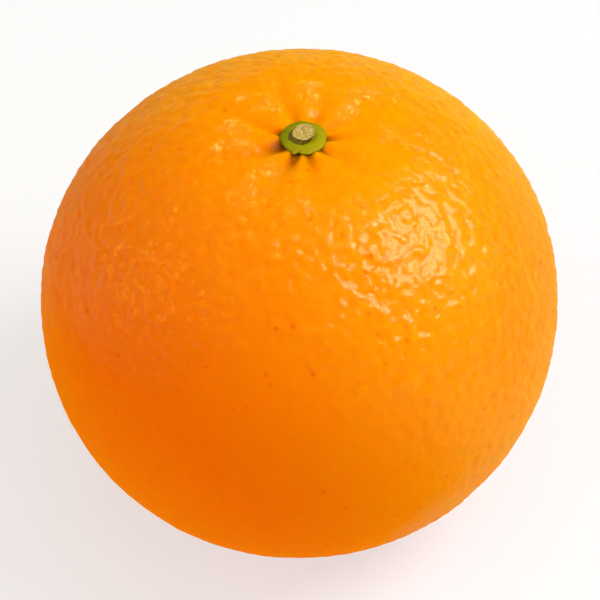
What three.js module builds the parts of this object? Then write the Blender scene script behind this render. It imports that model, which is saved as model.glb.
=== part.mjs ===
// A mandarin orange standing on its flattened blossom end, stem end up.
// Units are millimetres. Z runs up the core of the fruit, and z = 0 is the spot that it rests on.
import * as THREE from 'three';

// Body
const HALF_WIDTH = 35;
const WAIST_HEIGHT = 31;
const CROWN_RISE = 32.62;
const CROWN_FULLNESS = 2.038;
const FOOT_DROP = 32.97;
const FOOT_FULLNESS = 2.15;
const FOOT_BLEND = 1.0;
const SCAR_RADIUS = 4.6;
const SCAR_DEPTH = 0.55;
const SHOULDER_BULGE = 0.16;
const SHOULDER_BEARING = 150;
const SHOULDER_WIDTH = 80;

// Stem end
const STEM_SHIFT = 0.53;
const BASIN_DEPTH = 1.8;
const BASIN_REACH = 10.3;
const SEAT_LEVEL = 61.8;
const SOCKET_GAP = 0.3;
const LIP_RADIUS = 3.95;
const LIP_DROP = 0.3;
const LIP_ROUNDING = 0.12;
const FURROW_START = 3.2;
const FURROW_REACH = 7.5;
const FURROW_WIDTH = 10;

// Each furrow: bearing at the calyx, bearing far out, depth at the calyx
const FURROWS = [
  { near: 1, far: -2, depth: 0.7 },
  { near: 27, far: 31, depth: 0.55 },
  { near: 66, far: 66, depth: 0.7 },
  { near: 110, far: 108, depth: 0.75 },
  { near: 162, far: 147, depth: 0.75 },
  { near: 184, far: 178, depth: 0.2 },
  { near: 206, far: 203, depth: 0.95 },
  { near: 251, far: 247, depth: 0.9 },
  { near: 282, far: 280, depth: 0.75 },
  { near: 318, far: 325, depth: 0.7 },
];
const FURROW_TURN_REACH = 6;

// Stem stub: cut off short and a little askew, out of round and leaning
const STUB_RADIUS = 1.42;
const STUB_BASE = 0.15;
const STUB_TOP = 0.95;
const STUB_CHAMFER = 0.12;
const STUB_SHIFT = -0.27;
const STUB_LEAN = 0.2;
const STUB_OUT_OF_ROUND = 0.035;
const STUB_WIDEST_BEARING = 17;
const STUB_SLOPE = 0.11;
const STUB_SLOPE_BEARING = 63;

// Calyx: a flat green button with blunt sepals, and a recess for the stem stub
const CALYX_RADIUS = 3.02;
const CALYX_UNDERSIDE = -0.9;
const CALYX_RIM = -0.24;
const CALYX_EDGE_ROUNDING = 0.22;
const CALYX_COLLAR_RADIUS = STUB_RADIUS * (1 + STUB_OUT_OF_ROUND) - STUB_SHIFT + SOCKET_GAP;
const CALYX_COLLAR = 0.2;
const CALYX_COLLAR_ROUNDING = 0.08;
const CALYX_RECESS = STUB_BASE - SOCKET_GAP;
const CALYX_CROWN_STEPS = 4;
const SEPAL_COUNT = 5;
const SEPAL_BEARING = 248;
const SEPAL_SIZE = 0.015;
const SEPAL_TIPS = [
  { bearing: 246, width: 7, size: 0.085 },
  { bearing: 257, width: 5, size: -0.1 },
  { bearing: 284, width: 8, size: 0.05 },
];
const SOCKET_DEPTH = SOCKET_GAP - CALYX_UNDERSIDE;

// Mesh steps
const PEEL_SEGMENTS = 96;
const CALYX_SEGMENTS = 72;
const STUB_SEGMENTS = 40;
const FIRST_STEP = THREE.MathUtils.degToRad(0.8);
const BODY_STEP = THREE.MathUtils.degToRad(4.5);
const STEP_GROWTH = 1.2;

const { degToRad } = THREE.MathUtils;

// How far one bearing is from another, in degrees from -180 to 180
function bearingGap(bearing, other) {
  return ((((bearing - other) % 360) + 540) % 360) - 180;
}

function bell(distance, width) {
  return Math.exp(-((distance / width) ** 2));
}

// 0 where the share is 0 or 1, and 1 halfway
function hump(share) {
  return 4 * share * (1 - share);
}

// A superellipse quarter above the waist and another below it; fall is the angle from the stem
function roundBody(fall) {
  const up = Math.cos(fall);
  const fullness = up > 0 ? CROWN_FULLNESS : FOOT_FULLNESS;
  const reach = up > 0 ? CROWN_RISE : FOOT_DROP;
  const power = 2 / fullness;
  const out = HALF_WIDTH * Math.sin(fall) ** power;
  const rise = Math.sign(up) * reach * Math.abs(up) ** power;
  return { out, level: WAIST_HEIGHT + rise };
}

// Flattens the foot onto z = 0 with a rounded edge, and dents the blossom scar
function restingFoot(out, level) {
  const flattened = ((level + FOOT_BLEND) ** 2) / (4 * FOOT_BLEND);
  const rounded = level < FOOT_BLEND ? flattened : level;
  const resting = level < -FOOT_BLEND ? 0 : rounded;
  const inside = Math.max(0, 1 - (out / SCAR_RADIUS) ** 2);
  return level < 0 ? resting + SCAR_DEPTH * inside ** 3 : resting;
}

// How deep the furrows that run out from the calyx are at one spot
function furrowDepth(out, bearing) {
  const past = Math.max(0, out - FURROW_START);
  const turned = 1 - Math.exp(-past / FURROW_TURN_REACH);
  const fade = Math.exp(-past / FURROW_REACH);
  let depth = 0;
  for (const furrow of FURROWS) {
    const middle = furrow.near + (furrow.far - furrow.near) * turned;
    depth += furrow.depth * fade * bell(bearingGap(bearing, middle), FURROW_WIDTH);
  }
  return depth;
}

// How far out the calyx reaches at one bearing: blunt sepals, with the front ones more pointed
function calyxOutline(bearing) {
  const lobes = SEPAL_SIZE * Math.cos(degToRad(SEPAL_COUNT * (bearing - SEPAL_BEARING)));
  const tips = SEPAL_TIPS.reduce(
    (sum, tip) => sum + tip.size * bell(bearingGap(bearing, tip.bearing), tip.width), 0);
  return CALYX_RADIUS * (1 + lobes + tips);
}

// The socket keeps the same gap all round the calyx
function socketSpread(bearing) {
  return (calyxOutline(bearing) + SOCKET_GAP) / CALYX_RADIUS;
}

// The angle from the stem at which the round body is this far out from its core
function fallAt(out) {
  return Math.asin((out / HALF_WIDTH) ** (CROWN_FULLNESS / 2));
}

// Profile of the peel from the middle of the foot to the middle of the socket
function peelProfile() {
  const floor = SEAT_LEVEL - SOCKET_DEPTH;
  const lip = roundBody(fallAt(LIP_RADIUS));
  const profile = [
    new THREE.Vector2(0, floor),
    new THREE.Vector2(CALYX_RADIUS / 2, floor),
    new THREE.Vector2(CALYX_RADIUS, floor),
    new THREE.Vector2(CALYX_RADIUS + LIP_ROUNDING, lip.level - LIP_DROP),
  ];
  let fall = fallAt(LIP_RADIUS);
  let step = FIRST_STEP;
  while (fall < Math.PI - BODY_STEP / 2) {
    const spot = roundBody(fall);
    profile.push(new THREE.Vector2(spot.out, restingFoot(spot.out, spot.level)));
    step = Math.min(step * STEP_GROWTH, BODY_STEP);
    fall += step;
  }
  profile.push(new THREE.Vector2(0, SCAR_DEPTH));
  return profile.reverse();
}

// Moves each point of a turned geometry, given how far out it is, its bearing and its level
function reshape(geometry, move) {
  const points = geometry.attributes.position;
  for (let i = 0; i < points.count; i += 1) {
    const x = points.getX(i);
    const y = points.getY(i);
    const bearing = THREE.MathUtils.radToDeg(Math.atan2(y, x));
    const moved = move(Math.hypot(x, y), bearing, points.getZ(i));
    const turn = degToRad(bearing);
    points.setXYZ(i, moved.out * Math.cos(turn) + moved.shift, moved.out * Math.sin(turn), moved.level);
  }
  geometry.computeVertexNormals();
  return geometry;
}

// Turns a profile about Z
function turned(profile, segments) {
  return new THREE.LatheGeometry(profile, segments).rotateX(Math.PI / 2);
}

function named(name, geometry, material) {
  const mesh = new THREE.Mesh(geometry, material);
  mesh.name = name;
  return mesh;
}

function makeFruit() {
  const geometry = reshape(turned(peelProfile(), PEEL_SEGMENTS), (out, bearing, level) => {
    if (level < WAIST_HEIGHT) {
      return { out, level, shift: 0 };
    }
    const crown = THREE.MathUtils.smoothstep((level - WAIST_HEIGHT) / CROWN_RISE, 0, 1);
    if (out < CALYX_RADIUS + LIP_ROUNDING / 2) {
      return { out: out * socketSpread(bearing), level, shift: STEM_SHIFT };
    }
    const pressed = BASIN_DEPTH * bell(out, BASIN_REACH) + furrowDepth(out, bearing);
    const shoulder = bell(bearingGap(bearing, SHOULDER_BEARING), SHOULDER_WIDTH) * hump(crown);
    const onLip = out < LIP_RADIUS - LIP_ROUNDING;
    return {
      out: onLip ? out * socketSpread(bearing) : out + SHOULDER_BULGE * shoulder,
      level: level - pressed,
      shift: STEM_SHIFT * crown,
    };
  });
  const peel = new THREE.MeshStandardMaterial({ color: 0xf58a0a, roughness: 0.42, metalness: 0 });
  return named('fruit', geometry, peel);
}

// Profile of the calyx from the middle of its underside to the middle of its recess; the button is domed
function calyxProfile() {
  const profile = [
    new THREE.Vector2(0, CALYX_UNDERSIDE),
    new THREE.Vector2(CALYX_RADIUS - CALYX_EDGE_ROUNDING, CALYX_UNDERSIDE),
    new THREE.Vector2(CALYX_RADIUS, CALYX_UNDERSIDE + CALYX_EDGE_ROUNDING),
  ];
  const inner = CALYX_COLLAR_RADIUS + CALYX_COLLAR_ROUNDING;
  for (let k = 0; k <= CALYX_CROWN_STEPS; k += 1) {
    const turn = (k / CALYX_CROWN_STEPS) * (Math.PI / 2);
    const out = inner + (CALYX_RADIUS - inner) * Math.cos(turn);
    const level = CALYX_RIM + (CALYX_COLLAR - CALYX_RIM) * Math.sin(turn);
    profile.push(new THREE.Vector2(out, level));
  }
  profile.push(
    new THREE.Vector2(CALYX_COLLAR_RADIUS, CALYX_COLLAR - CALYX_COLLAR_ROUNDING),
    new THREE.Vector2(CALYX_COLLAR_RADIUS, CALYX_RECESS),
    new THREE.Vector2(0, CALYX_RECESS),
  );
  return profile;
}

function makeCalyx() {
  const geometry = reshape(turned(calyxProfile(), CALYX_SEGMENTS), (out, bearing, level) => {
    const spread = out > CALYX_COLLAR_RADIUS ? calyxOutline(bearing) / CALYX_RADIUS : 1;
    return { out: out * spread, level: level + SEAT_LEVEL, shift: STEM_SHIFT };
  });
  const green = new THREE.MeshStandardMaterial({ color: 0x8f9a10, roughness: 0.5, metalness: 0 });
  return named('calyx', geometry, green);
}

function makeStemStub() {
  const profile = [
    new THREE.Vector2(0, STUB_BASE),
    new THREE.Vector2(STUB_RADIUS, STUB_BASE),
    new THREE.Vector2(STUB_RADIUS, STUB_TOP - STUB_CHAMFER),
    new THREE.Vector2(STUB_RADIUS - STUB_CHAMFER, STUB_TOP),
    new THREE.Vector2(0, STUB_TOP),
  ];
  const geometry = reshape(turned(profile, STUB_SEGMENTS), (out, bearing, level) => {
    const wide = Math.cos(2 * degToRad(bearing - STUB_WIDEST_BEARING));
    const spread = 1 + STUB_OUT_OF_ROUND * wide * (out / STUB_RADIUS);
    const raised = (level - STUB_BASE) / (STUB_TOP - STUB_BASE);
    const slope = STUB_SLOPE * out * Math.cos(degToRad(bearing - STUB_SLOPE_BEARING));
    return {
      out: out * spread,
      level: level + slope * raised + SEAT_LEVEL,
      shift: STEM_SHIFT + STUB_SHIFT + STUB_LEAN * raised,
    };
  });
  const cutWood = new THREE.MeshStandardMaterial({ color: 0xc9b072, roughness: 0.8, metalness: 0 });
  return named('stem_stub', geometry, cutWood);
}

const mandarin = new THREE.Group();
mandarin.name = 'mandarin';
mandarin.add(makeFruit(), makeCalyx(), makeStemStub());
export default mandarin;
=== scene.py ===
"""Looks of a fresh mandarin orange: waxy pebbled rind, green calyx and a cut stem stub.

Shapes are worked out in millimetres; the scene itself is in metres, in the frame of the CAD part.
Bearings are degrees round the stem, from +X towards +Y.
"""

import math

import bpy
import numpy as np
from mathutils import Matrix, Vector, noise


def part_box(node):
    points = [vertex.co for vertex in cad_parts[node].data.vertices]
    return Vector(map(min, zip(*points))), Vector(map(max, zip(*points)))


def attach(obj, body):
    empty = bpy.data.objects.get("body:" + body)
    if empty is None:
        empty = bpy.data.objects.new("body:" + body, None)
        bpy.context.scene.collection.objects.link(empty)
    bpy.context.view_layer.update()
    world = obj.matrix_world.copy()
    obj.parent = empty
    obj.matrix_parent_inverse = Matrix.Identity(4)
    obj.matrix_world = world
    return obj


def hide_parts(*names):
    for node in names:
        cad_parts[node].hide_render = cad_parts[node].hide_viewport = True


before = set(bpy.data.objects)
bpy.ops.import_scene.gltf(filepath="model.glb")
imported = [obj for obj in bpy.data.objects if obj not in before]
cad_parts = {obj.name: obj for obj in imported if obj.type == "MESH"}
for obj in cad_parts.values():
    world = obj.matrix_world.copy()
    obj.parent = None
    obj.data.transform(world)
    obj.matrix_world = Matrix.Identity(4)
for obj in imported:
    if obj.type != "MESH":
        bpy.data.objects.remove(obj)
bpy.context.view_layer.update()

MM = 0.001


def node_box(name):
    """Lowest and highest corner of a CAD node, in millimetres."""
    low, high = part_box(name)
    return Vector(low) / MM, Vector(high) / MM


fruit_low, fruit_high = node_box("fruit")
calyx_low = node_box("calyx")[0]
stub_low, stub_high = node_box("stem_stub")

# ---------------------------------------------------------------- body, millimetres
HALF_WIDTH = (fruit_high.x - fruit_low.x) / 2
WAIST_HEIGHT = 31.0
CROWN_RISE = 32.62
CROWN_FULLNESS = 2.038
FOOT_DROP = 32.97
FOOT_FULLNESS = 2.15
FOOT_BLEND = 1.0
SCAR_RADIUS = 4.6
SCAR_DEPTH = 0.55
SHOULDER_BULGE = 0.16
SHOULDER_BEARING = 150.0
SHOULDER_WIDTH = 80.0

# ---------------------------------------------------------------- stem end, millimetres
STEM_SHIFT = 0.53
BASIN_DEPTH = 1.8
BASIN_REACH = 10.3
CALYX_THICKNESS = 0.9
SEAT_LEVEL = calyx_low.z + CALYX_THICKNESS
SOCKET_DEPTH = 0.75
SOCKET_WALL = (2.4, 3.1)
# the furrows fade in under the calyx
FURROW_EDGE = (2.2, 3.2)
FURROW_START = 3.2
FURROW_REACH = 7.5
# share of the narrowing that would keep a furrow as wide all the way out
FURROW_NARROWING = 0.25
FURROW_TURN_REACH = 6.0
# waves are given as lattice step, height and seed; this one is in degrees, by which the furrows stray
FURROW_WANDER = (4.0, 3.0, 1)
# bearing at the calyx, bearing far out, depth at the calyx, width in degrees
FURROWS = (
    (1, -2, 0.55, 12), (27, 31, 0.45, 10), (66, 66, 0.6, 10), (110, 108, 0.7, 10),
    (162, 147, 0.7, 10), (184, 178, 0.2, 10), (206, 203, 0.85, 14), (251, 247, 0.6, 12),
    (282, 280, 0.5, 12), (318, 325, 0.5, 11),
)
# crests between the furrows: bearing at the calyx, bearing far out, height, width in degrees
CRESTS = (
    (45, 46, 0.08, 12), (86, 84, 0.12, 11), (128, 127, 0.14, 12), (172, 166, 0.1, 9),
    (189, 188, 0.12, 9), (232, 236, 0.12, 12), (266, 264, 0.1, 10), (299, 300, 0.1, 10),
    (340, 342, 0.08, 12),
)
CREST_FADE_IN = 2.0
CREST_REACH = 7.0
# darker brown where the furrows run under the calyx: bearing, width in degrees, strength, reach
BROWN_AT_CALYX = (
    (1, 10, 0.8, 1.2), (162, 10, 0.9, 0.8), (206, 20, 1.4, 1.4),
    (251, 10, 1.3, 2.1), (282, 10, 0.7, 2.0), (318, 5, 0.8, 1.2),
)

# ---------------------------------------------------------------- wax, share of the skin that it covers
WAX_ON_BODY = 0.2
WAX_ON_SHADED_SIDE = 0.03
WAX_ON_CHEEKS = 0.3
WAX_IN_FURROWS = 0.04
WAX_ON_CRESTS = 0.5
# the side that hung in the leaves stayed dull, apart from a patch low down on the sunny side
SHADED_SIDE = (-0.35, -0.75, -0.56)
SHADED_RANGE = (0.2, 0.55)
LOW_CHEEK = (0.707, -0.525, -0.473)
# two cheeks that rubbed on other fruit are polished
CHEEKS = ((0.354, -0.352, 0.866), (-0.54, -0.459, 0.707))
CHEEK_RANGE = (0.85, 0.93)
# between these distances out from the core, the dull skin of the stem end gives way to the body's
STEM_END_REACH = (11.0, 17.0)
# skin of the crests that handling has polished: bearing, width in degrees, from and to how far out
SHINES = (
    (128, 11, 4.0, 11.0), (84, 10, 5.2, 9.5), (43, 11, 7.0, 14.0), (165, 9, 6.8, 10.5),
    (187, 10, 6.8, 11.5), (234, 9, 6.5, 12.0), (236, 8, 13.0, 17.5), (268, 8, 11.5, 14.5),
    (285, 8, 13.0, 15.5), (3, 9, 11.0, 13.5),
)
SHINE_EDGE = 2.0
# the polish strays this many times as far as the furrows
SHINE_WANDER = 2
# bare patches in the polish, and the heights of the waves over which they fade out
SHINE_PATCHES = (2.6, 1.0, 2)
SHINE_PATCH_EDGE = (-0.35, 0.15)

# ---------------------------------------------------------------- relief of the rind, millimetres
FINE_WAVES = (1.2, 0.19, 3)
BROAD_WAVES = (2.6, 0.1, 4)
SWELLS = (9.0, 0.10, 5)
# keeps the waves inside the outline of the solid
RELIEF_SINK = 0.1
# the relief is lower on the shaded side, on the foot and in the smooth skin of the furrows
SMOOTH_SHADED_SIDE = 0.5
RELIEF_AT_FOOT = 0.6
FOOT_LEVELS = (4, 16)
SMOOTH_FURROWS = 0.65
# and it starts above the table and outside the socket
RELIEF_FROM_TABLE = (0.0, 1.2)
RELIEF_FROM_SOCKET = (2.4, 3.4)

# ---------------------------------------------------------------- mesh of the peel, millimetres
PEEL_AROUND = 512
# out from the stem, step of the rings, share of the vertices that go round
STEM_STEPS = ((4.5, 0.2, 4), (11.0, 0.26, 2))
CROWN_STEP = 0.45
FOOT_STEP = 0.66
FOOT_STEPS_BELOW = 25.0


def bearing_gap(bearing, other):
    return (bearing - other + 540.0) % 360.0 - 180.0


def bell(distance, width):
    return np.exp(-(distance / width) ** 2)


def smooth(low, high, value):
    t = np.clip((value - low) / (high - low), 0, 1)
    return t * t * (3 - 2 * t)


def waves(points, step, height, seed):
    """Smooth waves of about -height to height, at points in the unit of the lattice step."""
    shift = Vector((seed * 17.3, seed * -9.1, seed * 5.7))
    return height * np.array([noise.noise(Vector(p) / step + shift) for p in points])


def ring_faces(counts):
    """Faces of a closed mesh of rings between a top and a bottom point; a ring may double or halve."""
    faces = []
    start = 1
    faces += [(0, start + k, start + (k + 1) % counts[0]) for k in range(counts[0])]
    for count, below in zip(counts, counts[1:]):
        after = start + count
        for k in range(min(count, below)):
            if count == below:
                n = (k + 1) % count
                faces.append((start + k, after + k, after + n, start + n))
            elif below > count:
                left, middle, right = after + 2 * k, after + 2 * k + 1, after + (2 * k + 2) % below
                next_up = start + (k + 1) % count
                faces += [(start + k, left, middle), (start + k, middle, next_up),
                          (next_up, middle, right)]
            else:
                left, middle, right = start + 2 * k, start + 2 * k + 1, start + (2 * k + 2) % count
                next_down = after + (k + 1) % below
                faces += [(left, after + k, middle), (middle, after + k, next_down),
                          (middle, next_down, right)]
        start = after
    last = start + counts[-1]
    faces += [(last, start + (k + 1) % counts[-1], start + k) for k in range(counts[-1])]
    return faces


def new_piece(name, points, faces):
    """A smooth piece whose points are in metres."""
    mesh = bpy.data.meshes.new(name)
    mesh.from_pydata(points, [], faces)
    mesh.polygons.foreach_set("use_smooth", np.ones(len(mesh.polygons), bool))
    mesh.update()
    piece = bpy.data.objects.new(name, mesh)
    bpy.context.scene.collection.objects.link(piece)
    return piece


def ring_piece(name, top, points, bottom, counts):
    """A closed piece of a top point, rings and a bottom point, in millimetres."""
    points = np.concatenate([[top], points, [bottom]])
    return new_piece(name, (points * MM).tolist(), ring_faces(counts))


def with_poles(values, top=0, bottom=0):
    """The values of the rings' points, with one for the top point and one for the bottom point."""
    return np.concatenate([[top], values, [bottom]])


def store(piece, name, values):
    """Keeps one number per vertex, which the material reads by name."""
    attribute = piece.data.attributes.new(name, "FLOAT", "POINT")
    attribute.data.foreach_set("value", np.asarray(values, np.float32))


def swept_profile(profile, radius, steps, around, softenings=0):
    """Bearing, share of the radius and level of points in even steps down a profile and round it."""
    share, rise = np.array(profile).T
    along = np.concatenate([[0], np.cumsum(np.hypot(np.diff(share * radius), np.diff(rise)))])
    places = np.linspace(0, along[-1], steps)
    share = np.interp(places, along, share)
    rise = np.interp(places, along, rise)
    for _ in range(softenings):
        for line in (share, rise):
            line[1:-1] = (line[:-2] + 2 * line[1:-1] + line[2:]) / 4
    bearing = np.tile(np.arange(around) * 360 / around, steps)
    return bearing, np.repeat(share, around), np.repeat(rise, around)


# ---------------------------------------------------------------- peel
def round_body(fall):
    """Distance out from the core and level of the plain body, where fall is the angle from the stem."""
    up = np.cos(fall)
    fullness = np.where(up > 0, CROWN_FULLNESS, FOOT_FULLNESS)
    reach = np.where(up > 0, CROWN_RISE, FOOT_DROP)
    out = HALF_WIDTH * np.abs(np.sin(fall)) ** (2 / fullness)
    return out, WAIST_HEIGHT + np.sign(up) * reach * np.abs(up) ** (2 / fullness)


def resting_foot(out, level):
    """The foot flattened onto the table with a rounded edge, and the dent of the blossom scar."""
    flattened = (level + FOOT_BLEND) ** 2 / (4 * FOOT_BLEND)
    resting = np.where(level < -FOOT_BLEND, 0, np.where(level < FOOT_BLEND, flattened, level))
    inside = np.clip(1 - (out / SCAR_RADIUS) ** 2, 0, 1)
    return np.where(level < 0, resting + SCAR_DEPTH * inside ** 3, resting)


def turning(near, far, past):
    """Bearing of a furrow or crest that starts at one bearing and bends towards another."""
    return near + (far - near) * (1 - np.exp(-past / FURROW_TURN_REACH))


def furrow_depth(out, bearing):
    past = np.maximum(0, out - FURROW_START)
    fade = np.exp(-past / FURROW_REACH)
    narrowing = (FURROW_START / (FURROW_START + past)) ** FURROW_NARROWING
    return sum(deep * fade * bell(bearing_gap(bearing, turning(near, far, past)), width * narrowing)
               for near, far, deep, width in FURROWS)


def crest_height(out, bearing):
    past = np.maximum(0, out - FURROW_START)
    swell = smooth(0, CREST_FADE_IN, past) * np.exp(-past / CREST_REACH)
    return sum(high * swell * bell(bearing_gap(bearing, turning(near, far, past)), width)
               for near, far, high, width in CRESTS)


def brown_at_calyx_strength(out, bearing):
    past = np.maximum(0, out - FURROW_START)
    return sum(strength * np.exp(-past / reach) * bell(bearing_gap(bearing, middle), width)
               for middle, width, strength, reach in BROWN_AT_CALYX)


def polished_share(out, bearing):
    """How polished the skin near the stem is, from 0 in the furrows to 1 on the crests."""
    polish = np.zeros_like(out)
    for middle, width, start, end in SHINES:
        along = smooth(start - SHINE_EDGE, start, out) * (1 - smooth(end, end + SHINE_EDGE, out))
        polish += along * bell(bearing_gap(bearing, middle), width)
    return np.clip(polish, 0, 1)


def facing(points, way):
    """How far points in millimetres lie towards a direction from the middle of the fruit, about -1 to 1."""
    return (points - (0, 0, WAIST_HEIGHT)) @ np.array(way) / HALF_WIDTH


def shaded_share(points):
    low_cheek = smooth(*CHEEK_RANGE, facing(points, LOW_CHEEK))
    return smooth(*SHADED_RANGE, facing(points, SHADED_SIDE)) * (1 - low_cheek)


def wax_share(points, near, polish):
    """Share of the skin that wax covers, where near is 1 by the stem and 0 on the body."""
    cheek = sum(smooth(*CHEEK_RANGE, facing(points, way)) for way in CHEEKS)
    body = WAX_ON_BODY + (WAX_ON_CHEEKS - WAX_ON_BODY) * cheek
    body += (WAX_ON_SHADED_SIDE - WAX_ON_BODY) * shaded_share(points)
    stem_end = WAX_IN_FURROWS + (WAX_ON_CRESTS - WAX_IN_FURROWS) * polish
    return body + (stem_end - body) * near


def peel_rings():
    """Angle from the stem and vertex count of each ring: short steps by the stem, longer at the foot."""
    rings = []
    fall = math.radians(1.0)
    while fall < math.radians(179.0):
        out, level = round_body(np.array(fall))
        step = CROWN_STEP if level > FOOT_STEPS_BELOW else FOOT_STEP
        share = 1
        for reach, fine_step, fine_share in reversed(STEM_STEPS):
            if out < reach:
                step = max(fine_step, FOOT_STEP) if level < WAIST_HEIGHT else fine_step
                share = fine_share
        rings.append((fall, PEEL_AROUND // share))
        fall += step / HALF_WIDTH
    return rings


def add_relief(peel, out, smoothed):
    """The pebbled relief of the rind, along its normals; smoothed is 1 in the smooth skin of the furrows."""
    mesh = peel.data
    points = np.zeros(len(mesh.vertices) * 3)
    normals = np.zeros(len(mesh.vertices) * 3)
    mesh.vertices.foreach_get("co", points)
    mesh.vertex_normals.foreach_get("vector", normals)
    points = points.reshape(-1, 3) / MM
    level = points[:, 2]
    rise = waves(points, *FINE_WAVES) + waves(points, *BROAD_WAVES)
    rise *= 1 - SMOOTH_SHADED_SIDE * shaded_share(points)
    rise *= RELIEF_AT_FOOT + (1 - RELIEF_AT_FOOT) * smooth(*FOOT_LEVELS, level)
    rise *= 1 - SMOOTH_FURROWS * smoothed
    rise += waves(points, *SWELLS) - RELIEF_SINK
    rise *= smooth(*RELIEF_FROM_TABLE, level)
    rise *= np.where(level > WAIST_HEIGHT, smooth(*RELIEF_FROM_SOCKET, out), 1)
    points += normals.reshape(-1, 3) * rise[:, None]
    mesh.vertices.foreach_set("co", (points * MM).ravel())
    mesh.update()


def make_peel():
    rings = peel_rings()
    counts = [count for fall, count in rings]
    fall = np.concatenate([np.full(count, angle) for angle, count in rings])
    bearing = np.concatenate([np.arange(count) * 360 / count for count in counts])
    turn = np.radians(bearing)
    out, level = round_body(fall)
    level = resting_foot(out, level)
    above = level > WAIST_HEIGHT
    crown = np.where(above, smooth(0, 1, (level - WAIST_HEIGHT) / CROWN_RISE), 0)
    plain = np.stack([out * np.cos(turn), out * np.sin(turn), level], -1)
    wander = waves(plain, *FURROW_WANDER)

    furrow = np.where(above, furrow_depth(out, bearing + wander), 0)
    crest = np.where(above, crest_height(out, bearing + wander), 0)
    brown_at_calyx = np.where(above, brown_at_calyx_strength(out, bearing + wander), 0)
    near = (1 - smooth(*STEM_END_REACH, out)) * above
    worn = smooth(*SHINE_PATCH_EDGE, waves(plain, *SHINE_PATCHES))
    polish = polished_share(out, bearing + SHINE_WANDER * wander) * worn * above

    socket = SOCKET_DEPTH * (1 - smooth(*SOCKET_WALL, out))
    pressed = BASIN_DEPTH * bell(out, BASIN_REACH) + furrow * smooth(*FURROW_EDGE, out) + socket
    level = np.where(above, level - pressed + crest, level)
    shoulder = bell(bearing_gap(bearing, SHOULDER_BEARING), SHOULDER_WIDTH) * crown * (1 - crown) * 4
    out = out + SHOULDER_BULGE * shoulder
    shell = np.stack([out * np.cos(turn) + STEM_SHIFT * crown, out * np.sin(turn), level], -1)
    top = (STEM_SHIFT, 0, SEAT_LEVEL - SOCKET_DEPTH)
    peel = ring_piece("peel", top, shell, (0, 0, SCAR_DEPTH), counts)
    store(peel, "furrow", with_poles(furrow))
    store(peel, "brown_at_calyx", with_poles(brown_at_calyx))
    store(peel, "wax", with_poles(wax_share(shell, near, polish)))
    add_relief(peel, with_poles(out), with_poles(near * (1 - polish)))
    return peel


# ---------------------------------------------------------------- calyx, millimetres
CALYX_RADIUS = 3.02
CALYX_AROUND = 192
CALYX_STEPS = 64
# share of the radius, and level from the seat
CALYX_PROFILE = (
    (0.03, 0.0), (0.3, 0.0), (0.42, 0.02), (0.52, 0.13), (0.58, 0.19), (0.66, 0.2),
    (0.76, 0.15), (0.86, 0.08), (0.93, 0.02), (0.97, -0.05), (0.995, -0.14), (1.0, -0.24),
    (0.98, -0.36), (0.9, -0.48), (0.7, -0.6), (0.1, -0.62),
)
CALYX_UNDERSIDE = -0.62
SEPAL_COUNT = 5
SEPAL_BEARING = 248.0
SEPAL_SIZE = 0.015
# bearing, width and size of a point or notch of the rim, as a share of the radius
SEPAL_TIPS = ((246, 7, 0.085), (257, 5, -0.1), (284, 8, 0.05))
# waves, in shares of the radius
FRAYED_EDGE = (0.13, 0.018, 13)
# the outline reaches in to half the radius, and the bumps to a tenth
OUTLINE_FROM = (0.5, 1.0)
CALYX_BUMPS_FROM = (0.1, 0.3)
CALYX_BUMPS = (0.9, 0.05, 11)
CALYX_PIMPLES = (0.35, 0.02, 12)
# the rim is brown at the edge and below it, partly its own browned edge and partly painted shade where it
# meets the peel
BROWN_EDGE = (0.955, 1.0)
BROWN_BELOW = (-0.1, -0.25)
BROWN_STRENGTH = 0.9


def calyx_outline(bearing):
    """How far out the calyx reaches, in radii: blunt sepals, with the front ones more pointed."""
    lobes = SEPAL_SIZE * np.cos(np.radians(SEPAL_COUNT * (bearing - SEPAL_BEARING)))
    tips = sum(size * bell(bearing_gap(bearing, middle), width) for middle, width, size in SEPAL_TIPS)
    turn = np.radians(bearing)
    frayed = waves(np.stack([np.cos(turn), np.sin(turn), turn * 0], -1), *FRAYED_EDGE)
    return 1 + lobes + tips + frayed


def make_calyx():
    bearing, share, rise = swept_profile(CALYX_PROFILE, CALYX_RADIUS, CALYX_STEPS, CALYX_AROUND,
                                         softenings=2)
    turn = np.radians(bearing)
    out = CALYX_RADIUS * share * (1 + (calyx_outline(bearing) - 1) * smooth(*OUTLINE_FROM, share))
    points = np.stack([out * np.cos(turn) + STEM_SHIFT, out * np.sin(turn), rise], -1)
    bumps = waves(points, *CALYX_BUMPS) + waves(points, *CALYX_PIMPLES)
    brown = smooth(*BROWN_EDGE, share) + smooth(*BROWN_BELOW, rise)
    points[:, 2] += SEAT_LEVEL + bumps * smooth(*CALYX_BUMPS_FROM, share)
    top = (STEM_SHIFT, 0, SEAT_LEVEL)
    bottom = (STEM_SHIFT, 0, SEAT_LEVEL + CALYX_UNDERSIDE)
    calyx = ring_piece("calyx_button", top, points, bottom, [CALYX_AROUND] * CALYX_STEPS)
    store(calyx, "brown", with_poles(np.clip(brown, 0, 1) * BROWN_STRENGTH))
    return calyx


# ---------------------------------------------------------------- stem stub, millimetres
STUB_RADIUS = 1.42
STUB_SEAT = 0.15
STUB_AROUND = 160
STUB_STEPS = 64
# share of the radius, and level from the foot of the stub
STUB_PROFILE = (
    (0.03, 0.76), (0.5, 0.76), (0.8, 0.75), (0.9, 0.74), (0.955, 0.71), (0.98, 0.65), (0.985, 0.5),
    (0.99, 0.3), (1.02, 0.12), (1.06, 0.02), (1.06, -0.1), (0.9, -0.15), (0.1, -0.15),
)
# waves round the outline: how many, size as a share of the radius, turn
STUB_OVAL = (2, 0.035, -0.6)
STUB_CORNERS = (5, 0.02, 1)
CUT_FACE = (0.6, 0.7)
# slope of the cut towards +X and towards +Y
CUT_SLOPE = (0.05, 0.1)
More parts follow.
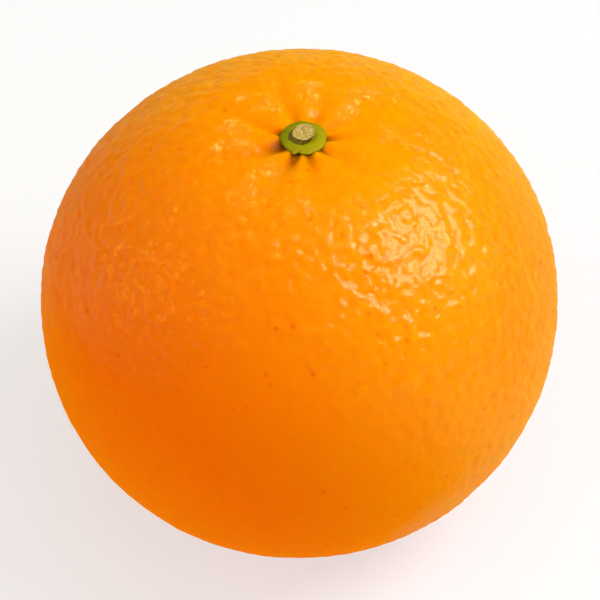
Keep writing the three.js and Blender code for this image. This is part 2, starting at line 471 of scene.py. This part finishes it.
# the fibres lie along X, because the lattice is squeezed along Y
FIBRES = (0.5, 0.16, 21)
FINE_FIBRES = (0.25, 0.05, 22)
FIBRE_SQUEEZE = (1, 1.8, 1)
FIBRE_SINK = 0.06
# ribs of the bark, in shares of the radius: they are narrow round the stub and long up it
RIBS = (0.35, 0.05, 23)
RIB_SQUEEZE = (3, 0.4)
LEAN_LEVELS = (0.0, 0.75)
LEAN = (0.45, 0.1)


def make_stub():
    bearing, share, rise = swept_profile(STUB_PROFILE, STUB_RADIUS, STUB_STEPS, STUB_AROUND)
    turn = np.radians(bearing)
    outline = 1 + sum(size * np.cos(count * turn + start)
                      for count, size, start in (STUB_OVAL, STUB_CORNERS))
    out = STUB_RADIUS * share * outline
    middle = (stub_low + stub_high) / 2
    points = np.stack([out * np.cos(turn) + middle.x, out * np.sin(turn) + middle.y, rise], -1)
    cut = smooth(*CUT_FACE, rise)
    fibres = np.abs(waves(points * FIBRE_SQUEEZE, *FIBRES)) + waves(points, *FINE_FIBRES)
    bark = np.stack([turn * RIB_SQUEEZE[0], turn * 0, rise * RIB_SQUEEZE[1]], -1)
    side = 1 + (1 - cut) * waves(bark, *RIBS)
    slope = CUT_SLOPE[0] * (points[:, 0] - middle.x) + CUT_SLOPE[1] * (points[:, 1] - middle.y)
    points[:, 2] += SEAT_LEVEL + STUB_SEAT + cut * (fibres - FIBRE_SINK + slope)
    lean = smooth(*LEAN_LEVELS, rise) - 0.5
    for axis, way in enumerate(LEAN):
        points[:, axis] = middle[axis] + (points[:, axis] - middle[axis]) * side + way * lean
    top = (middle.x, middle.y, points[:STUB_AROUND, 2].mean())
    bottom = (middle.x, middle.y, SEAT_LEVEL)
    stub = ring_piece("cut_stem", top, points, bottom, [STUB_AROUND] * STUB_STEPS)
    store(stub, "cut", with_poles(cut, top=1))
    store(stub, "fibre", with_poles(fibres))
    return stub


# ---------------------------------------------------------------- materials
RAMP = "ShaderNodeMapRange"
MIX = "ShaderNodeMix"
NOISE = "ShaderNodeTexNoise"
CELLS = "ShaderNodeTexVoronoi"
MATHS = "ShaderNodeMath"
TOWARDS = "ShaderNodeVectorMath"
BUMP = "ShaderNodeBump"
STORED = "ShaderNodeAttribute"
COLOUR = {"data_type": "RGBA"}
DOT = {"operation": "DOT_PRODUCT"}
TIMES = {"operation": "MULTIPLY"}
TIMES_PLUS = {"operation": "MULTIPLY_ADD"}
SOFT_EDGE = {"interpolation_type": "SMOOTHSTEP"}


def linear(code):
    """An sRGB hex colour as linear red, green, blue and alpha."""
    parts = [int(code[i:i + 2], 16) / 255 for i in (1, 3, 5)]
    return [c / 12.92 if c <= 0.04045 else ((c + 0.055) / 1.055) ** 2.4 for c in parts] + [1.0]


def node(tree, kind, out=0, settings=None, **inputs):
    """Adds a node with its settings and inputs, and gives one of its outputs; in3 means input number 3."""
    made = tree.nodes.new(kind)
    for key, value in (settings or {}).items():
        setattr(made, key, value)
    for key, value in inputs.items():
        slot = made.inputs[int(key[2:])] if key[2:].isdigit() else made.inputs[key.replace("_", " ")]
        if isinstance(value, bpy.types.NodeSocket):
            tree.links.new(value, slot)
        else:
            slot.default_value = value
    return made.outputs[out] if len(made.outputs) else made


def new_material(name):
    made = bpy.data.materials.new(name)
    made.use_nodes = True
    made.node_tree.nodes.clear()
    return made, made.node_tree


RIND_ORANGE = "#fc6b00"
# painted light and shade over the rind's orange: direction, from and to how many metres that way from the
# middle of the foot, colour
PAINTED_SUN_AND_SHADE = (
    ((0.74, 0.25, 0.62), 0.001, 0.040, "#fe9400"),       # painted light: golden towards the lit upper right
    ((0.41, -0.41, 0.815), 0.0533, 0.067, "#ffae00"),    # painted highlight glow: palest round the key highlight
    ((1, 0, 0), 0.018, 0.036, "#fe8200"),                # painted shade: deeper again round the right side
    ((0, 0.94, -0.34), 0.002, 0.018, "#fc7200"),         # painted shade on the back, low down
)
RIND_BLOTCH = 14 * MM
GLAND_SPACING = 1.9 * MM
GLAND_PATCH = 12 * MM
GLAND_SHOWING = 0.45
# how strongly the patches gather the dark glands, and how few of them show
GLAND_GATHERING = 1.6
GLAND_RARITY = 1.58
# sizes in metres and heights in millimetres of the bump
DIMPLE_SIZE, DIMPLE_HEIGHT = 1.5 * MM, 0.42
PEBBLE_SIZE, PEBBLE_HEIGHT = 0.8 * MM, 0.11
CRACK_SIZE, CRACK_HEIGHT = 0.6 * MM, 0.012
GLAND_DEPTH = 0.012
WAX_IN_CRACKS = 0.15


def waxy_citrus_rind():
    """Fresh mandarin rind: oily, pebbled and waxed, so it glows orange and carries small sharp glints."""
    made, tree = new_material("waxy_citrus_rind")
    place = node(tree, "ShaderNodeTexCoord", "Object")
    colour = linear(RIND_ORANGE)
    # painted light and shade, laid over the rind's orange one tone after another
    for way, start, end, tone in PAINTED_SUN_AND_SHADE:
        share = node(tree, TOWARDS, "Value", DOT, in0=place, in1=way)
        share = node(tree, RAMP, 0, SOFT_EDGE, Value=share, From_Min=start, From_Max=end)
        colour = node(tree, MIX, 2, COLOUR, in0=share, in6=colour, in7=linear(tone))
    blotch = node(tree, NOISE, Vector=place, Scale=1 / RIND_BLOTCH, Detail=3.0)
    blotch = node(tree, RAMP, Value=blotch, From_Min=0.3, From_Max=0.7, To_Max=0.22)
    colour = node(tree, MIX, 2, COLOUR, in0=blotch, in6=colour, in7=linear("#f57600"))
    # furrows round the calyx: deeper orange, partly the rind's own colour and partly painted shade in the
    # creases, and darker brown where they run under the calyx
    furrow = node(tree, STORED, "Fac", {"attribute_name": "furrow"})
    furrow = node(tree, RAMP, Value=furrow, From_Min=0.15, From_Max=0.8, To_Max=0.3)
    colour = node(tree, MIX, 2, COLOUR, in0=furrow, in6=colour, in7=linear("#e05a00"))
    # darker brown where the furrows run under the calyx
    brown_at_calyx = node(tree, STORED, "Fac", {"attribute_name": "brown_at_calyx"})
    brown_at_calyx = node(tree, RAMP, Value=brown_at_calyx, From_Min=0.08, From_Max=0.8, To_Max=0.8)
    colour = node(tree, MIX, 2, COLOUR, in0=brown_at_calyx, in6=colour, in7=linear("#853800"))
    # a few sunken oil glands, gathered in patches, show as darker points
    gland = node(tree, CELLS, "Distance", Vector=place, Scale=1 / GLAND_SPACING, Randomness=1.0)
    chosen = node(tree, CELLS, "Color", Vector=place, Scale=1 / GLAND_SPACING, Randomness=1.0)
    patch = node(tree, NOISE, Vector=place, Scale=1 / GLAND_PATCH, Detail=1.0)
    chosen = node(tree, MATHS, 0, TIMES_PLUS, in0=patch, in1=GLAND_GATHERING, in2=chosen)
    chosen = node(tree, MATHS, 0, {"operation": "GREATER_THAN"}, in0=chosen, in1=GLAND_RARITY)
    pit = node(tree, RAMP, 0, SOFT_EDGE, Value=gland, From_Min=0.06, From_Max=0.26, To_Min=1.0, To_Max=0.0)
    pit = node(tree, MATHS, 0, TIMES, in0=pit, in1=chosen)
    faint = node(tree, MATHS, 0, TIMES, in0=pit, in1=GLAND_SHOWING)
    colour = node(tree, MIX, 2, COLOUR, in0=faint, in6=colour, in7=linear("#e84400"))
    # the fine grain of the skin: dimples, pebbles, and cracks drawn at 0.6 mm so that they still show
    dimple = node(tree, NOISE, Vector=place, Scale=1 / DIMPLE_SIZE, Detail=0.0)
    pebble = node(tree, NOISE, Vector=place, Scale=1 / PEBBLE_SIZE, Detail=0.0)
    crack = node(tree, CELLS, "Distance", {"feature": "DISTANCE_TO_EDGE"}, Vector=place,
                 Scale=1 / CRACK_SIZE)
    crack = node(tree, RAMP, 0, SOFT_EDGE, Value=crack, From_Max=0.2)
    rise = node(tree, MATHS, 0, TIMES, in0=crack, in1=CRACK_HEIGHT)
    rise = node(tree, MATHS, 0, TIMES_PLUS, in0=pebble, in1=PEBBLE_HEIGHT, in2=rise)
    rise = node(tree, MATHS, 0, TIMES_PLUS, in0=dimple, in1=DIMPLE_HEIGHT, in2=rise)
    rise = node(tree, MATHS, 0, TIMES_PLUS, in0=pit, in1=-GLAND_DEPTH, in2=rise)
    bump = node(tree, BUMP, Strength=1.0, Distance=1.0 * MM, Height=rise)
    soft_bump = node(tree, BUMP, Strength=0.5, Distance=1.0 * MM, Height=rise)
    # the wax is a broken coat over flesh that light sinks into; it is thin in the cracks
    wax = node(tree, STORED, "Fac", {"attribute_name": "wax"})
    gloss = node(tree, RAMP, Value=crack, To_Min=WAX_IN_CRACKS)
    wax = node(tree, MATHS, 0, TIMES, in0=wax, in1=gloss)
    skin = node(tree, "ShaderNodeBsdfPrincipled", Base_Color=colour, Roughness=0.5, IOR=1.33,
                Normal=soft_bump, Specular_IOR_Level=0.0, Subsurface_Weight=1.0,
                Subsurface_Radius=(1.0, 0.4, 0.1), Subsurface_Scale=2.0 * MM,
                Coat_Weight=wax, Coat_Roughness=0.09, Coat_IOR=1.8, Coat_Normal=bump)
    node(tree, "ShaderNodeOutputMaterial", Surface=skin)
    return made


def leathery_green_calyx():
    """Calyx of a picked fruit: smooth leathery green, painted darker olive on its shaded left side, dull
    with a soft shine.
    """
    made, tree = new_material("leathery_green_calyx")
    place = node(tree, "ShaderNodeTexCoord", "Object")
    # painted light and shade: darker olive towards the left, lighter yellow-green towards the lit right
    across = node(tree, TOWARDS, "Value", DOT, in0=place, in1=(0.9, -0.43, 0.0))
    across = node(tree, RAMP, Value=across, From_Min=-2.5 * MM, From_Max=3.0 * MM)
    colour = node(tree, MIX, 2, COLOUR, in0=across, in6=linear("#6a7000"), in7=linear("#a89800"))
    blotch = node(tree, NOISE, Vector=place, Scale=1 / (1.1 * MM), Detail=3.0)
    blotch = node(tree, RAMP, Value=blotch, From_Min=0.35, From_Max=0.7, To_Max=0.35)
    colour = node(tree, MIX, 2, COLOUR, in0=blotch, in6=colour, in7=linear("#a89a00"))
    # brown along the rim: partly the calyx's own browned edge, partly painted shade at its edge and
    # underside
    brown = node(tree, STORED, "Fac", {"attribute_name": "brown"})
    colour = node(tree, MIX, 2, COLOUR, in0=brown, in6=colour, in7=linear("#5a3c08"))
    # leaf grain, 0.3 mm across and 0.03 mm high
    grain = node(tree, NOISE, Vector=place, Scale=1 / (0.3 * MM), Detail=2.0)
    rise = node(tree, MATHS, 0, TIMES, in0=grain, in1=0.03)
    bump = node(tree, BUMP, Strength=1.0, Distance=1.0 * MM, Height=rise)
    skin = node(tree, "ShaderNodeBsdfPrincipled", Base_Color=colour, Roughness=0.6, IOR=1.33, Normal=bump,
                Specular_IOR_Level=0.1, Subsurface_Weight=0.4, Subsurface_Radius=(0.5, 0.6, 0.1),
                Subsurface_Scale=0.5 * MM)
    node(tree, "ShaderNodeOutputMaterial", Surface=skin)
    return made


def cut_stem_wood():
    """Clipped citrus twig: dry pale pith and fibres on the cut, dark olive bark round it."""
    made, tree = new_material("cut_stem_wood")
    place = node(tree, "ShaderNodeTexCoord", "Object")
    cut = node(tree, STORED, "Fac", {"attribute_name": "cut"})
    fibre = node(tree, STORED, "Fac", {"attribute_name": "fibre"})
    fibre = node(tree, RAMP, Value=fibre, From_Min=0.0, From_Max=0.06)
    wood = node(tree, MIX, 2, COLOUR, in0=fibre, in6=linear("#9a7a34"), in7=linear("#c6ad5c"))
    # streaks of the bark, 0.35 mm across and 0.05 mm high
    streak = node(tree, NOISE, Vector=place, Scale=1 / (0.35 * MM), Detail=3.0)
    bark = node(tree, RAMP, Value=streak, From_Min=0.35, From_Max=0.7)
    bark = node(tree, MIX, 2, COLOUR, in0=bark, in6=linear("#463806"), in7=linear("#84701a"))
    colour = node(tree, MIX, 2, COLOUR, in0=cut, in6=bark, in7=wood)
    rise = node(tree, MATHS, 0, TIMES, in0=streak, in1=0.05)
    bump = node(tree, BUMP, Strength=1.0, Distance=1.0 * MM, Height=rise)
    skin = node(tree, "ShaderNodeBsdfPrincipled", Base_Color=colour, Roughness=0.7, IOR=1.45, Normal=bump,
                Specular_IOR_Level=0.25)
    node(tree, "ShaderNodeOutputMaterial", Surface=skin)
    return made


CARD_GLOW = 0.6


def white_card():
    """Matt white card with a light of its own for the camera, gloss and glass, so that it stays pale."""
    made, tree = new_material("white_card")
    card = node(tree, "ShaderNodeBsdfPrincipled", Base_Color=linear("#f0f0f0"), Roughness=0.9, IOR=1.3)
    glow = node(tree, "ShaderNodeEmission", Color=(1, 1, 1, 1), Strength=1.0)
    seen = node(tree, "ShaderNodeLightPath", "Is Camera Ray")
    for kind in ("Is Glossy Ray", "Is Transmission Ray"):
        also = node(tree, "ShaderNodeLightPath", kind)
        seen = node(tree, MATHS, 0, {"operation": "MAXIMUM"}, in0=seen, in1=also)
    share = node(tree, MATHS, 0, TIMES, in0=seen, in1=CARD_GLOW)
    card = node(tree, "ShaderNodeMixShader", in0=share, in1=card, in2=glow)
    node(tree, "ShaderNodeOutputMaterial", Surface=card)
    return made


# ---------------------------------------------------------------- studio, metres
FLOOR_REACH = 3.0
COVE_RADIUS = 0.3
WALL_HEIGHT = 0.5
STAGE_AROUND = 96
COVE_STEPS = 8

WORLD_LIGHT = 0.2
KEY = (0.623, 0.05, 0.78)
KEY_SHINE = (0.623, 0.02, 0.753)
LEFT = (-0.897, -0.093, 0.431)
WHITE = (1, 1, 1)
CREAM = (1, 1, 0.68)
STRAW = (1, 0.95, 0.5)
GOLD = (1, 0.95, 0.27)
AMBER = (1, 0.72, 0.1)
# fills, which light the skin and leave no sheen: direction, distance, width, brightness, tint
FILLS = {
    "key_softbox": (KEY, 0.6, 0.36, 8.3, WHITE),
    "left_softbox": (LEFT, 0.6, 0.28, 3.2, STRAW),
    "top_softbox": ((0.15, 0.0, 0.95), 0.7, 1.0, 0.76, WHITE),
    "low_left_softbox": ((-0.62, -0.72, 0.32), 0.7, 0.9, 0.84, WHITE),
    "front_softbox": ((0.5, -0.75, 0.35), 0.7, 0.9, 0.4, WHITE),
}
# shines, which are seen in the wax and light nothing; each hangs in front of the fill from its side
SHINE_LAMPS = {
    "key_glint": (KEY_SHINE, 0.55, 0.42, 11.0, CREAM),
    "left_glint": (LEFT, 0.55, 0.235, 6.0, AMBER),
    "back_lamp": ((0.0, 0.74, 0.67), 0.7, 0.23, 11.2, GOLD),
    "high_lamp": ((-0.04, 0.5, 0.86), 0.7, 0.15, 11.2, GOLD),
    "right_lamp": ((0.35, 0.6, 0.72), 0.7, 0.1, 11.2, GOLD),
    "top_lamp": ((0.0, 0.12, 0.99), 0.7, 0.08, 11.2, GOLD),
    "top_left_lamp": ((-0.33, 0.1, 0.94), 0.7, 0.08, 11.2, GOLD),
}

CAMERA_HEIGHT = 48.0          # degrees above the table
CAMERA_DISTANCE = 0.35
CAMERA_LENS = 154.6           # millimetres, as the sensor
CAMERA_SENSOR = 36.0
CAMERA_SHIFT = (0.0012, -0.001)


def make_floor():
    """A round floor that curves up into a low wall, so that level views have a plain background too."""
    flat = FLOOR_REACH - COVE_RADIUS
    bends = [math.radians(90 * k / COVE_STEPS) for k in range(COVE_STEPS + 1)]
    profile = [(flat + COVE_RADIUS * math.sin(bend), COVE_RADIUS * (1 - math.cos(bend))) for bend in bends]
    profile.append((FLOOR_REACH, WALL_HEIGHT))
    turns = [math.tau * k / STAGE_AROUND for k in range(STAGE_AROUND)]
    corners = [(0, 0, 0)]
    corners += [(out * math.cos(turn), out * math.sin(turn), level)
                for out, level in profile for turn in turns]
    faces = [(0, 1 + k, 1 + (k + 1) % STAGE_AROUND) for k in range(STAGE_AROUND)]
    for ring in range(len(profile) - 1):
        start = 1 + ring * STAGE_AROUND
        for k in range(STAGE_AROUND):
            n = (k + 1) % STAGE_AROUND
            faces.append((start + k, start + STAGE_AROUND + k, start + STAGE_AROUND + n, start + n))
    floor = new_piece("floor", corners, faces)
    floor.data.materials.append(white_card())


def hang_softbox(name, target, direction, distance, width, brightness, tint, shine):
    """A round lamp of even brightness, where 1 is the brightness of white paper in plain light."""
    lamp = bpy.data.lights.new(name, "AREA")
    lamp.shape = "DISK"
    lamp.size = width
    lamp.color = tint
    lamp.energy = brightness * math.pi * math.pi * (width / 2) ** 2
    made = bpy.data.objects.new(name, lamp)
    way = Vector(direction).normalized()
    made.location = target + way * distance
    made.rotation_euler = way.to_track_quat("Z", "Y").to_euler()
    made.visible_glossy = shine
    made.visible_diffuse = not shine
    made.visible_camera = False
    bpy.context.scene.collection.objects.link(made)


def make_light(target):
    for name, lamp in FILLS.items():
        hang_softbox(name, target, *lamp, shine=False)
    for name, lamp in SHINE_LAMPS.items():
        hang_softbox(name, target, *lamp, shine=True)
    world = bpy.data.worlds.new("white_room")
    bpy.context.scene.world = world
    world.use_nodes = True
    background = world.node_tree.nodes["Background"]
    background.inputs["Color"].default_value = (1, 1, 1, 1)
    background.inputs["Strength"].default_value = WORLD_LIGHT


def make_camera(target):
    camera = bpy.data.cameras.new("camera")
    camera.lens = CAMERA_LENS
    camera.sensor_width = CAMERA_SENSOR
    camera.shift_x, camera.shift_y = CAMERA_SHIFT
    made = bpy.data.objects.new("camera", camera)
    height = math.radians(CAMERA_HEIGHT)
    way = Vector((0, -math.cos(height), math.sin(height)))
    made.location = target + way * CAMERA_DISTANCE
    made.rotation_euler = way.to_track_quat("Z", "Y").to_euler()
    bpy.context.scene.collection.objects.link(made)
    bpy.context.scene.camera = made


# ---------------------------------------------------------------- scene
for piece, finish, stands_for, slot in (
        (make_peel(), waxy_citrus_rind(), "fruit", "peel"),
        (make_calyx(), leathery_green_calyx(), "calyx", "calyx_green"),
        (make_stub(), cut_stem_wood(), "stem_stub", "stem_wood")):
    piece.data.materials.append(finish)
    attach(piece, "root")
    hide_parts(stands_for)

middle = Vector((0, 0, WAIST_HEIGHT * MM))
make_floor()
make_light(middle)
make_camera(middle)
bpy.context.scene.view_settings.view_transform = "Standard"
